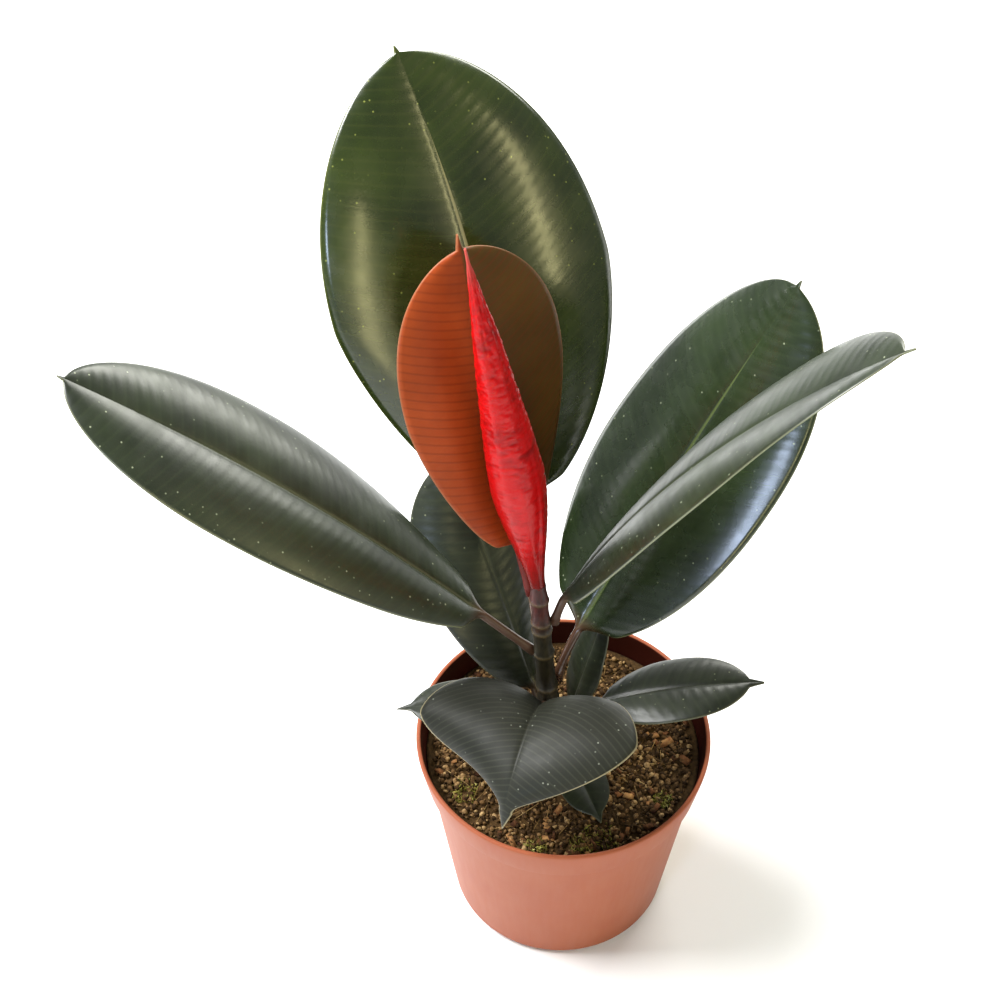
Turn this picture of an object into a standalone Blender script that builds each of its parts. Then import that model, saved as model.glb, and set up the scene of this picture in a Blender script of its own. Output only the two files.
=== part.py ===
"""A potted rubber plant: a thin nursery pot, potting soil, a stem, a red bud sheath and eleven leaves.

Metres, +Z up. The origin is the centre of the pot's underside, and the plant's front faces -Y.
Each leaf is one body: a thin blade with its petiole and midrib. It stands a small gap off the stem,
as every other neighbour here does.
"""

import math
from dataclasses import dataclass

import bmesh
import bpy
from mathutils import Vector

MM = 0.001
GAP = 0.3 * MM

# Pot
POT_HEIGHT = 98.0 * MM
POT_RIM_RADIUS = 60.5 * MM
POT_BASE_RADIUS = 45.5 * MM
POT_WALL = 1.3 * MM
POT_COLLAR_HEIGHT = 17.0 * MM
POT_COLLAR_STEP = 1.2 * MM
POT_NECK_RADIUS = 57.0 * MM
POT_BASE_ROUND = 3.0 * MM
POT_FLOOR = 3.4 * MM
POT_RECESS = 2.0 * MM
POT_FOOT_WIDTH = 7.0 * MM
POT_PAD_RADIUS = 12.0 * MM
DRAIN_COUNT = 6
DRAIN_RADIUS = 4.0 * MM
DRAIN_CIRCLE = 26.0 * MM
POT_STEPS = 56

# Soil
SOIL_BELOW_RIM = 12.0 * MM
SOIL_MOUND = 2.5 * MM
SOIL_STEPS = 32

# Stem: an upright stem that leans a little towards -X
STEM_FOOT = Vector((-4.5 * MM, 4.0 * MM, POT_HEIGHT - SOIL_BELOW_RIM))
STEM_LEAN = math.tan(math.radians(4.0))
STEM_BURIED = 34.0 * MM
STEM_HEIGHT = 102.0 * MM
STEM_RADIUS = 4.4 * MM
STEM_TIP_RADIUS = 3.0 * MM
STEM_NODE_SWELL = 0.5 * MM
STEM_ROWS = 30

# Bud sheath
SHEATH_LENGTH = 157.0 * MM
SHEATH_RADIUS = 9.6 * MM
SHEATH_WIDEST = 0.36
SHEATH_HEADING = 150.0
SHEATH_RISE = (80.0, 78.0)

# Leaves
LEAF_THICKNESS = 0.9 * MM
PETIOLE_RADIUS = 1.7 * MM
MIDRIB_END_RADIUS = 0.5 * MM
MIDRIB_ENDS_AT = 0.84
BLADE_STARTS_BY = 0.05
OUTLINE_POWER = 1 / 1.7


@dataclass
class Leaf:
    """One leaf. Lengths are metres and angles are degrees.

    above_soil is the height above the soil at which it leaves the stem. heading turns counter-clockwise
    from +X. rise is the climb at the stem, where the blade starts and at its tip. fold lifts each half of
    the blade at the midrib, and curl bends it down again on its way to the margin.
    """

    name: str
    above_soil: float
    heading: float
    petiole: float
    length: float
    width: float
    rise: tuple
    swing: float = 0.0
    roll: tuple = (0.0, 0.0)
    fold: tuple = (14.0, 14.0)
    curl: float = 30.0
    widest: float = 0.48
    base_power: float = 2.0
    tip_power: float = 2.0
    tip_taper: float = OUTLINE_POWER
    bend: float = 1.0
    drip_length: float = 6.0 * MM
    drip_width: float = 4.0 * MM
    rows: int = 14
    columns: int = 4
    color: tuple = (0.03, 0.055, 0.03, 1.0)


LEAVES = [
    Leaf("leaf_back_large", 76 * MM, 110, 46 * MM, 182 * MM, 110 * MM, (56, 72, 46), swing=16,
         roll=(-10, -4), fold=(8, 8), curl=32, widest=0.5, base_power=1.45, tip_power=2.2,
         drip_length=3 * MM, drip_width=6 * MM, rows=16),
    Leaf("leaf_young_copper", 94 * MM, 130, 20 * MM, 134 * MM, 71 * MM, (66, 74, 75), swing=-6,
         roll=(10, -4), fold=(16, 8), curl=22, widest=0.57, base_power=1.5, tip_power=2.4,
         color=(0.17, 0.055, 0.025, 1.0)),
    Leaf("leaf_left_long", 62 * MM, 174, 24 * MM, 192 * MM, 67 * MM, (44, 45, 31), swing=2,
         roll=(5, -8), fold=(18, 16), curl=46, widest=0.54, base_power=1.7, tip_power=2.3,
         drip_length=3 * MM, drip_width=6 * MM, rows=16),
    Leaf("leaf_right_edge_on", 81 * MM, 4, 10 * MM, 192 * MM, 61 * MM, (78, 73, 44), swing=-28,
         roll=(-18, -8), fold=(0, 28), curl=38, widest=0.6, base_power=1.5, tip_power=3.0,
         bend=0.5, drip_length=5 * MM, rows=16),
    Leaf("leaf_right_broad", 41 * MM, 39, 22 * MM, 168 * MM, 82 * MM, (76, 54, 56), swing=-10,
         roll=(3, 6), fold=(20, 0), curl=36, widest=0.52, base_power=2.1, tip_power=2.4,
         drip_length=3 * MM, drip_width=6 * MM, rows=16),
    Leaf("leaf_low_right", 23 * MM, -3, 16 * MM, 68 * MM, 34 * MM, (14, 26, 4),
         roll=(-6, 0), fold=(14, 20), curl=40, rows=10, columns=3),
    Leaf("leaf_low_back_left", 18 * MM, 126, 8 * MM, 110 * MM, 57 * MM, (62, 62, 45),
         roll=(20, -28), fold=(4, 7), curl=41, widest=0.6, base_power=1.7, tip_power=2.3),
    Leaf("leaf_low_left", 15.5 * MM, 182, 12 * MM, 47 * MM, 26 * MM, (30, 25, -14),
         rows=10, columns=3),
    Leaf("leaf_low_front", 33 * MM, 258, 7 * MM, 77 * MM, 88 * MM, (50, 58, -88), swing=-10,
         roll=(-2, 18), fold=(40, -6), curl=38, widest=0.49, bend=1.25, base_power=1.45,
         tip_power=1.45, tip_taper=1.2, drip_length=8 * MM, drip_width=6 * MM, rows=16),
    Leaf("leaf_low_back_right", 10 * MM, 38, 8 * MM, 58 * MM, 20 * MM, (41, 71, 72),
         roll=(-10, -8), widest=0.45, rows=10, columns=3),
    Leaf("leaf_low_front_small", 13 * MM, -68, 15 * MM, 32 * MM, 20 * MM, (14, 4, -15),
         drip_length=4 * MM, rows=10, columns=3),
]


def lerp(start, end, share):
    return start + (end - start) * share


def material(name, color, roughness):
    made = bpy.data.materials.new(name)
    made.use_nodes = True
    made.diffuse_color = color
    shader = made.node_tree.nodes["Principled BSDF"]
    shader.inputs["Base Color"].default_value = color
    shader.inputs["Roughness"].default_value = roughness
    return made


def clear_scene():
    for obj in list(bpy.data.objects):
        bpy.data.objects.remove(obj, do_unlink=True)


def new_collection(name):
    made = bpy.data.collections.new(name)
    bpy.context.scene.collection.children.link(made)
    return made


def object_from_bmesh(name, bm, collection):
    mesh = bpy.data.meshes.new(name)
    bm.to_mesh(mesh)
    bm.free()
    obj = bpy.data.objects.new(name, mesh)
    collection.objects.link(obj)
    return obj


def as_cutter(obj):
    obj.hide_render = True
    obj.display_type = "WIRE"
    return obj


def turned(name, profile, steps, collection):
    """A solid turned about Z from a profile of (radius, height) that starts and ends on the axis."""
    bm = bmesh.new()
    verts = [bm.verts.new((radius, 0.0, height)) for radius, height in profile]
    for first, second in zip(verts, verts[1:]):
        bm.edges.new((first, second))
    obj = object_from_bmesh(name, bm, collection)
    screw = obj.modifiers.new("turn", "SCREW")
    screw.axis = "Z"
    screw.steps = steps
    screw.render_steps = steps
    screw.use_merge_vertices = True
    screw.merge_threshold = 0.00005
    return obj


def tube(name, points, radii, sides, collection):
    """A capped mesh tube through the points, with one radius at each."""
    curve = bpy.data.curves.new(name, "CURVE")
    curve.dimensions = "3D"
    curve.bevel_depth = 1.0
    curve.bevel_resolution = sides // 2 - 2
    curve.use_fill_caps = True
    spline = curve.splines.new("POLY")
    spline.points.add(len(points) - 1)
    for spot, point, radius in zip(spline.points, points, radii):
        spot.co = (*point, 1.0)
        spot.radius = radius
    drawn = bpy.data.objects.new(name + "_curve", curve)
    bpy.context.scene.collection.objects.link(drawn)
    graph = bpy.context.evaluated_depsgraph_get()
    mesh = bpy.data.meshes.new_from_object(drawn.evaluated_get(graph))
    bpy.data.objects.remove(drawn, do_unlink=True)
    mesh.name = name
    bm = bmesh.new()
    bm.from_mesh(mesh)
    bmesh.ops.remove_doubles(bm, verts=bm.verts, dist=1e-6)
    bmesh.ops.recalc_face_normals(bm, faces=bm.faces)
    bm.to_mesh(mesh)
    bm.free()
    obj = bpy.data.objects.new(name, mesh)
    collection.objects.link(obj)
    return obj


def boolean(obj, other, operation):
    modifier = obj.modifiers.new(operation.lower(), "BOOLEAN")
    modifier.operation = operation
    modifier.solver = "EXACT"
    modifier.object = other


def direction(heading, rise):
    heading, rise = math.radians(heading), math.radians(rise)
    level = math.cos(rise)
    return Vector((level * math.cos(heading), level * math.sin(heading), math.sin(rise)))


# Pot and soil


def pot_outside(height):
    """The outer radius of the pot's wall below the collar."""
    neck_height = POT_HEIGHT - POT_COLLAR_HEIGHT
    return lerp(POT_BASE_RADIUS, POT_NECK_RADIUS - POT_COLLAR_STEP, height / neck_height)


def pot_inside(height):
    """The inner radius of the pot's wall below the collar."""
    return pot_outside(height) - POT_WALL


def pot_profile():
    neck = POT_HEIGHT - POT_COLLAR_HEIGHT
    lip = 0.8 * MM
    collar_low = POT_NECK_RADIUS + 0.6 * MM
    foot_inner = POT_BASE_RADIUS - POT_BASE_ROUND - POT_FOOT_WIDTH
    return [
        (0.0, POT_FLOOR),
        (pot_inside(POT_FLOOR) - 2 * MM, POT_FLOOR),
        (pot_inside(POT_FLOOR + 2 * MM), POT_FLOOR + 2 * MM),
        (pot_inside(neck), neck),
        (collar_low - POT_WALL, neck + 2 * MM),
        (POT_RIM_RADIUS - lip - POT_WALL, POT_HEIGHT - lip),
        (POT_RIM_RADIUS - lip - POT_WALL / 2, POT_HEIGHT),
        (POT_RIM_RADIUS - lip / 2, POT_HEIGHT),
        (POT_RIM_RADIUS, POT_HEIGHT - lip),
        (POT_RIM_RADIUS - 0.3 * MM, POT_HEIGHT - 3 * MM),
        (collar_low, neck),
        (pot_outside(neck), neck - 0.6 * MM),
        (pot_outside(POT_BASE_ROUND), POT_BASE_ROUND),
        (POT_BASE_RADIUS - 0.9 * MM, 0.9 * MM),
        (POT_BASE_RADIUS - POT_BASE_ROUND, 0.0),
        (foot_inner, 0.0),
        (foot_inner - 1 * MM, POT_RECESS),
        (POT_PAD_RADIUS + 1 * MM, POT_RECESS),
        (POT_PAD_RADIUS, 0.0),
        (0.0, 0.0),
    ]


def build_pot(parts, cutters):
    pot = turned("pot", pot_profile(), POT_STEPS, parts)
    drains = bmesh.new()
    for index in range(DRAIN_COUNT):
        angle = 2 * math.pi * index / DRAIN_COUNT
        drilled = bmesh.ops.create_cone(
            drains, cap_ends=True, segments=12, radius1=DRAIN_RADIUS, radius2=DRAIN_RADIUS,
            depth=4 * POT_FLOOR)
        offset = Vector((math.cos(angle), math.sin(angle), 0)) * DRAIN_CIRCLE
        bmesh.ops.translate(drains, verts=drilled["verts"], vec=offset)
    boolean(pot, as_cutter(object_from_bmesh("drain_cutter", drains, cutters)), "DIFFERENCE")
    pot.data.materials.append(material("pot", (0.56, 0.21, 0.13, 1.0), 0.5))


def build_soil(parts, cutters):
    top = POT_HEIGHT - SOIL_BELOW_RIM
    neck = POT_HEIGHT - POT_COLLAR_HEIGHT
    to_flats = math.cos(math.pi / SOIL_STEPS)
    profile = [
        (0.0, top + SOIL_MOUND),
        (20 * MM, top + 0.8 * SOIL_MOUND),
        (40 * MM, top + 0.3 * SOIL_MOUND),
        ((pot_inside(neck) - GAP) * to_flats, top - 1 * MM),
        ((pot_inside(neck) - GAP) * to_flats, neck),
        ((pot_inside(POT_FLOOR + 3 * MM) - GAP) * to_flats, POT_FLOOR + 3 * MM),
        ((pot_inside(POT_FLOOR) - GAP - 4.5 * MM) * to_flats, POT_FLOOR + GAP),
        (0.0, POT_FLOOR + GAP),
    ]
    soil = turned("potting_soil", profile, SOIL_STEPS, parts)
    points, radii = stem_line(STEM_BURIED + GAP, STEM_HEIGHT, 2 * GAP)
    boolean(soil, as_cutter(tube("stem_hole_cutter", points, radii, 12, cutters)), "DIFFERENCE")
    soil.data.materials.append(material("potting_soil", (0.10, 0.06, 0.03, 1.0), 1.0))


# Stem and bud sheath


def stem_point(height):
    above = height - STEM_FOOT.z
    return Vector((STEM_FOOT.x - above * STEM_LEAN, STEM_FOOT.y, height))


def stem_radius(height):
    share = (height - STEM_FOOT.z) / STEM_HEIGHT
    return lerp(STEM_RADIUS, STEM_TIP_RADIUS, min(1.0, max(0.0, share)))


def node_swell(height):
    """The stem swells a little just below each leaf."""
    above = height - STEM_FOOT.z
    nearest = min(abs(above - leaf.above_soil + 3 * MM) for leaf in LEAVES)
    return STEM_NODE_SWELL * max(0.0, 1 - nearest / (4 * MM))


def stem_line(below, above, extra=0.0):
    points, radii = [], []
    for row in range(STEM_ROWS + 1):
        height = STEM_FOOT.z - below + (below + above) * row / STEM_ROWS
        points.append(stem_point(height))
        radii.append(stem_radius(height) + node_swell(height) + extra)
    return points, radii


def build_stem(parts):
    points, radii = stem_line(STEM_BURIED, STEM_HEIGHT)
    stem = tube("stem", points, radii, 10, parts)
    stem.data.materials.append(material("stem", (0.12, 0.09, 0.04, 1.0), 0.7))


def sheath_radius(share):
    if share < SHEATH_WIDEST:
        swell = math.sin(math.pi / 2 * share / SHEATH_WIDEST) ** 1.5
        return lerp(STEM_TIP_RADIUS, SHEATH_RADIUS, swell)
    narrowing = 1 - ((share - SHEATH_WIDEST) / (1 - SHEATH_WIDEST)) ** 1.2
    return max(0.5 * MM, SHEATH_RADIUS * narrowing)


def build_sheath(parts):
    rows = 16
    point = stem_point(STEM_FOOT.z + STEM_HEIGHT) + Vector((0, 0, 2 * GAP))
    points, radii = [], []
    for row in range(rows + 1):
        share = row / rows
        points.append(point.copy())
        radii.append(sheath_radius(share))
        step = SHEATH_LENGTH / rows
        point += direction(SHEATH_HEADING, lerp(*SHEATH_RISE, share)) * step
    sheath = tube("bud_sheath", points, radii, 12, parts)
    sheath.data.materials.append(material("bud_sheath", (0.62, 0.02, 0.02, 1.0), 0.35))


# Leaves


def leaf_frame(leaf, share):
    """Tangent, left side and upper normal. share runs -1 to 0 up the petiole and 0 to 1 up the blade."""
    if share < 0:
        rise = lerp(leaf.rise[0], leaf.rise[1], share + 1)
        heading = leaf.heading
        roll = leaf.roll[0]
    else:
        rise = lerp(leaf.rise[1], leaf.rise[2], share**leaf.bend)
        heading = leaf.heading + leaf.swing * share
        roll = lerp(*leaf.roll, share)
    tangent = direction(heading, rise)
    side = direction(heading + 90, 0)
    normal = tangent.cross(side)
    turn = math.radians(roll)
    return (
        tangent,
        side * math.cos(turn) + normal * math.sin(turn),
        normal * math.cos(turn) - side * math.sin(turn),
    )


def leaf_start(leaf):
    """Where the petiole's axis starts, clear of the stem's side."""
    slope = math.radians(leaf.rise[0])
    height = STEM_FOOT.z + leaf.above_soil
    reach = stem_radius(height) + STEM_NODE_SWELL + GAP
    reach += PETIOLE_RADIUS * math.sin(slope)
    return stem_point(height) + direction(leaf.heading, 0) * reach


def midrib_points(leaf, shares):
    """The points on the petiole and midrib at these rising shares, found by walking up the leaf."""
    point = leaf_start(leaf)
    walked = -1.0
    found = []
    for share in shares:
        steps = max(1, math.ceil((share - walked) * 60))
        step = (share - walked) / steps
        for index in range(steps):
            middle = walked + step * (index + 0.5)
            span = leaf.petiole if middle < 0 else leaf.length
            point = point + leaf_frame(leaf, middle)[0] * (span * step)
        walked = share
        found.append(point.copy())
    return found


def half_width(leaf, share):
    body = 1 - leaf.drip_length / leaf.length
    middle = leaf.widest * body
    width = 0.0
    if share < middle:
        width = (1 - ((middle - share) / middle) ** leaf.base_power) ** OUTLINE_POWER
    elif share < body:
        width = (1 - ((share - middle) / (body - middle)) ** leaf.tip_power) ** leaf.tip_taper
    drip_start = body - 0.07
    drip = 0.0
    if share > drip_start:
        started = min(1.0, (share - drip_start) / (body - drip_start))
        drip = 0.8 * leaf.drip_width * started * (1 - share) / (1 - drip_start)
    return math.hypot(width * leaf.width / 2, drip) + 0.25 * MM


def blade_point(leaf, share, side):
    """How far out and how high above the midrib the blade is, at side -1 to 1 of its half-width."""
    width = half_width(leaf, share)
    fold = math.radians(lerp(*leaf.fold, share))
    curl = math.radians(leaf.curl)
    end = fold - curl * abs(side)
    out = width * (math.sin(fold) - math.sin(end)) / curl
    lift = width * (math.cos(end) - math.cos(fold)) / curl
    return Vector((math.copysign(out, side), lift))


def rib_radius(share):
    """The petiole's radius, narrowing along the midrib until it sinks into the blade."""
    if share > MIDRIB_ENDS_AT:
        return 0.0
    return lerp(PETIOLE_RADIUS, MIDRIB_END_RADIUS, max(0.0, share) / MIDRIB_ENDS_AT)


def section(leaf, share):
    """The closed outline of one cross-section, as (out, up) points: over the top, then back below."""
    rib = rib_radius(share)
    edge = min(0.2, 1.2 * rib / half_width(leaf, max(0.0, share)))
    half = [edge] + [lerp(edge, 1.0, (step + 1) / leaf.columns) for step in range(leaf.columns)]
    sides = [-side for side in reversed(half)] + [0.0] + half
    is_blade = min(1.0, max(0.0, share) / BLADE_STARTS_BY)
    ring = []
    for below in (False, True):
        for index, side in enumerate(reversed(sides) if below else sides):
            angle = math.pi * (1 - (index + 0.5) / len(sides)) - (math.pi if below else 0.0)
            round_point = Vector((math.cos(angle), math.sin(angle))) * PETIOLE_RADIUS
            flat_point = blade_point(leaf, max(0.0, share), side)
            flat_point.y += -LEAF_THICKNESS / 2 if below else LEAF_THICKNESS / 2
            if below and side == 0.0:
                flat_point.y -= 1.4 * rib
            ring.append(round_point.lerp(flat_point, is_blade))
    return ring


def build_leaf(leaf, parts):
    """Wraps a grid round the leaf's cross-sections, from the petiole's foot to the tip."""
    petiole_rows = max(2, round(leaf.petiole / (10 * MM)))
    shares = [-1 + row / petiole_rows for row in range(petiole_rows)]
    shares += [0.5 - 0.5 * math.cos(math.pi * row / leaf.rows) for row in range(leaf.rows + 1)]
    points = midrib_points(leaf, shares)
    rings = [section(leaf, share) for share in shares]
    around, along = len(rings[0]), len(shares) - 1
    bm = bmesh.new()
    bmesh.ops.create_grid(bm, x_segments=around, y_segments=along, size=1.0)
    for vert in bm.verts:
        row = round((vert.co.y + 1) / 2 * along)
        out, up = rings[row][round((vert.co.x + 1) / 2 * around) % around]
        _, side, normal = leaf_frame(leaf, shares[row])
        vert.co = points[row] - side * out + normal * up
    bmesh.ops.remove_doubles(bm, verts=bm.verts, dist=1e-6)
    bmesh.ops.holes_fill(bm, edges=bm.edges, sides=around)
    bmesh.ops.recalc_face_normals(bm, faces=bm.faces)
    obj = object_from_bmesh(leaf.name, bm, parts)
    obj.data.materials.append(material(leaf.name, leaf.color, 0.35))


def main():
    clear_scene()
    parts = new_collection("potted_rubber_plant")
    cutters = new_collection("cutters")
    cutters.hide_render = True
    build_pot(parts, cutters)
    build_soil(parts, cutters)
    build_stem(parts)
    build_sheath(parts)
    for leaf in LEAVES:
        build_leaf(leaf, parts)


main()
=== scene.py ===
"""Looks for a potted rubber plant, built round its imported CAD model.

Metres, +Z up, origin at the centre of the pot's underside. Each class below is one sub-assembly:
it holds its sizes as fields, builds its meshes with bmesh operators and dresses them in a finish.
"""

import logging
import math
import random
from collections.abc import Sequence
from dataclasses import dataclass, field
from enum import Enum

import bmesh
import bpy
from mathutils import Matrix, Vector, noise


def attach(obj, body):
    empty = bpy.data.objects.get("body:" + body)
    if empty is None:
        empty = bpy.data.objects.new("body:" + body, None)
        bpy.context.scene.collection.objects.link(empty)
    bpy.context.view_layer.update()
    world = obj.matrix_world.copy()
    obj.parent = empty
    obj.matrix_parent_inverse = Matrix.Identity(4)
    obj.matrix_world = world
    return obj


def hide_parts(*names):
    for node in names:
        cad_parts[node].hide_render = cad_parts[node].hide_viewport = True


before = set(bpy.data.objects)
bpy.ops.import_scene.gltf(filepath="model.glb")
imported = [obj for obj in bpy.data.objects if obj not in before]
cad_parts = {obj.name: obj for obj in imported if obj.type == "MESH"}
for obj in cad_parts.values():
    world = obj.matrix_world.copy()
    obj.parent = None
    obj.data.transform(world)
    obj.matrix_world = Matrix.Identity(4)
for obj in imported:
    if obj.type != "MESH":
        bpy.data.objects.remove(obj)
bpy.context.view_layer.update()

LOG = logging.getLogger("potted_rubber_plant")
MM = 0.001
LEAF_MARKS = ("across", "edge", "upper", "stalk", "vein", "rib")


# Small helpers


def linear(code: str) -> tuple[float, float, float, float]:
    """Turns an sRGB hex colour into linear red, green, blue and alpha."""
    shares = [int(code[start : start + 2], 16) / 255 for start in (1, 3, 5)]
    channels = [s / 12.92 if s <= 0.04045 else ((s + 0.055) / 1.055) ** 2.4 for s in shares]
    return (channels[0], channels[1], channels[2], 1.0)


def lerp(start: float, end: float, share: float) -> float:
    """Returns the value that lies share of the way from start to end."""
    return start + (end - start) * share


def smooth(share: float) -> float:
    """Eases a share that is first held between 0 and 1."""
    held = min(1.0, max(0.0, share))
    return held * held * (3 - 2 * held)


def direction(heading: float, rise: float) -> Vector:
    """Returns a unit vector.

    Args:
        heading: Degrees counter-clockwise from +X.
        rise: Degrees above the horizontal.
    """
    turn, lift = math.radians(heading), math.radians(rise)
    level = math.cos(lift)
    return Vector((level * math.cos(turn), level * math.sin(turn), math.sin(lift)))


def feed(
    tree: bpy.types.NodeTree, node: bpy.types.Node, inputs: dict[str, object] | Sequence[object]
) -> None:
    """Sets a node's inputs, and links those that another node feeds.

    Args:
        tree: The node tree.
        node: The node in it.
        inputs: Values, or the outputs that feed them, by input name or in the inputs' own order.
    """
    if not isinstance(inputs, dict):
        inputs = {socket.identifier: value for socket, value in zip(node.inputs, inputs)}
    for name, value in inputs.items():
        socket = next(s for s in node.inputs if name in (s.identifier, s.name))
        if isinstance(value, bpy.types.NodeSocket):
            tree.links.new(value, socket)
        else:
            socket.default_value = value


def add_node(
    tree: bpy.types.NodeTree,
    kind: str,
    inputs: dict[str, object] | Sequence[object] = (),
    give: int | str = 0,
    **settings: object,
) -> bpy.types.NodeSocket:
    """Adds a node with its settings and links.

    Args:
        tree: The node tree that it goes into.
        kind: The node's type, without its ShaderNode prefix.
        inputs: What its inputs hold, as in feed.
        give: Which of its outputs is wanted.
        **settings: The node's own properties. Stops is a ramp's list of (place, hex colour).

    Returns:
        That output.
    """
    node = tree.nodes.new("ShaderNode" + kind)
    stops = settings.pop("stops", ())
    for name, value in settings.items():
        setattr(node, name, value)
    if stops:
        ramp = node.color_ramp.elements
        while len(ramp) < len(stops):
            ramp.new(0.5)
        for element, (place, code) in zip(ramp, stops):
            element.position, element.color = place, linear(code)
    feed(tree, node, inputs)
    return node.outputs[give]


def lay_coats(
    tree: bpy.types.NodeTree,
    ground: str | bpy.types.NodeSocket,
    coats: Sequence[tuple[float | bpy.types.NodeSocket, str | bpy.types.NodeSocket]],
    blend: str = "MIX",
) -> bpy.types.NodeSocket:
    """Lays coats of colour over a ground.

    Args:
        tree: The node tree.
        ground: The first colour, a hex code or an output.
        coats: How much of each coat shows and its colour, from the lowest up.
        blend: How each coat meets what is under it.

    Returns:
        The colour of the whole.
    """
    for share, coat in coats:
        under, over = (linear(c) if isinstance(c, str) else c for c in (ground, coat))
        ground = add_node(
            tree, "Mix", {"Factor_Float": share, "A_Color": under, "B_Color": over},
            give=2, data_type="RGBA", blend_type=blend
        )
    return ground


def start_material(
    name: str,
) -> tuple[bpy.types.Material, bpy.types.NodeTree, bpy.types.NodeSocket]:
    """Starts a material.

    Returns:
        The material, its node tree and the place on the piece in metres.
    """
    material = bpy.data.materials.new(name)
    material.use_nodes = True
    tree = material.node_tree
    return material, tree, add_node(tree, "TexCoord", give="Object")


def dress(material: bpy.types.Material, inputs: dict[str, object]) -> bpy.types.Material:
    """Feeds a material's shader and returns the material."""
    feed(material.node_tree, material.node_tree.nodes["Principled BSDF"], inputs)
    return material


def as_object(name: str, bm: bmesh.types.BMesh) -> bpy.types.Object:
    """Puts a bmesh into the scene as an object, and frees the bmesh."""
    mesh = bpy.data.meshes.new(name)
    bm.to_mesh(mesh)
    bm.free()
    obj = bpy.data.objects.new(name, mesh)
    bpy.context.scene.collection.objects.link(obj)
    return obj


def finish_object(
    name: str,
    bm: bmesh.types.BMesh,
    material: bpy.types.Material,
    replaces: Sequence[str] = (),
) -> None:
    """Turns a bmesh into a smooth-shaded piece that rides on the plant.

    Args:
        name: The piece's name.
        bm: The shape, in the row frame. It is freed.
        material: The piece's finish.
        replaces: The CAD nodes that the piece stands for.
    """
    obj = as_object(name, bm)
    obj.data.shade_smooth()
    obj.data.materials.append(material)
    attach(obj, "root")
    if replaces:
        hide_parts(*replaces)
    LOG.info("%s: %d faces", name, len(obj.data.polygons))


def sleeve(
    rings: Sequence[Sequence[Vector]], marks: dict[str, Sequence[Sequence[float]]]
) -> bmesh.types.BMesh:
    """Wraps a grid round rings of points and closes both ends.

    Args:
        rings: Rings of equally many points, each anticlockwise seen from the last ring.
        marks: Attribute name to its value at each point of each ring.

    Returns:
        The closed shape, with its marks.
    """
    bm = bmesh.new()
    around, along = len(rings[0]), len(rings) - 1
    for name in marks:
        bm.verts.layers.float.new(name)
    layers = {name: bm.verts.layers.float[name] for name in marks}
    bmesh.ops.create_grid(bm, x_segments=around, y_segments=along, size=1.0)
    for vert in bm.verts:
        row = round((vert.co.y + 1) / 2 * along)
        column = round((vert.co.x + 1) / 2 * around) % around
        vert.co = rings[row][column]
        for name, layer in layers.items():
            vert[layer] = marks[name][row][column]
    bmesh.ops.remove_doubles(bm, verts=bm.verts, dist=1e-7)
    bmesh.ops.holes_fill(bm, edges=[e for e in bm.edges if e.is_boundary], sides=0)
    bmesh.ops.recalc_face_normals(bm, faces=bm.faces)
    return bm


# Finishes


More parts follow.
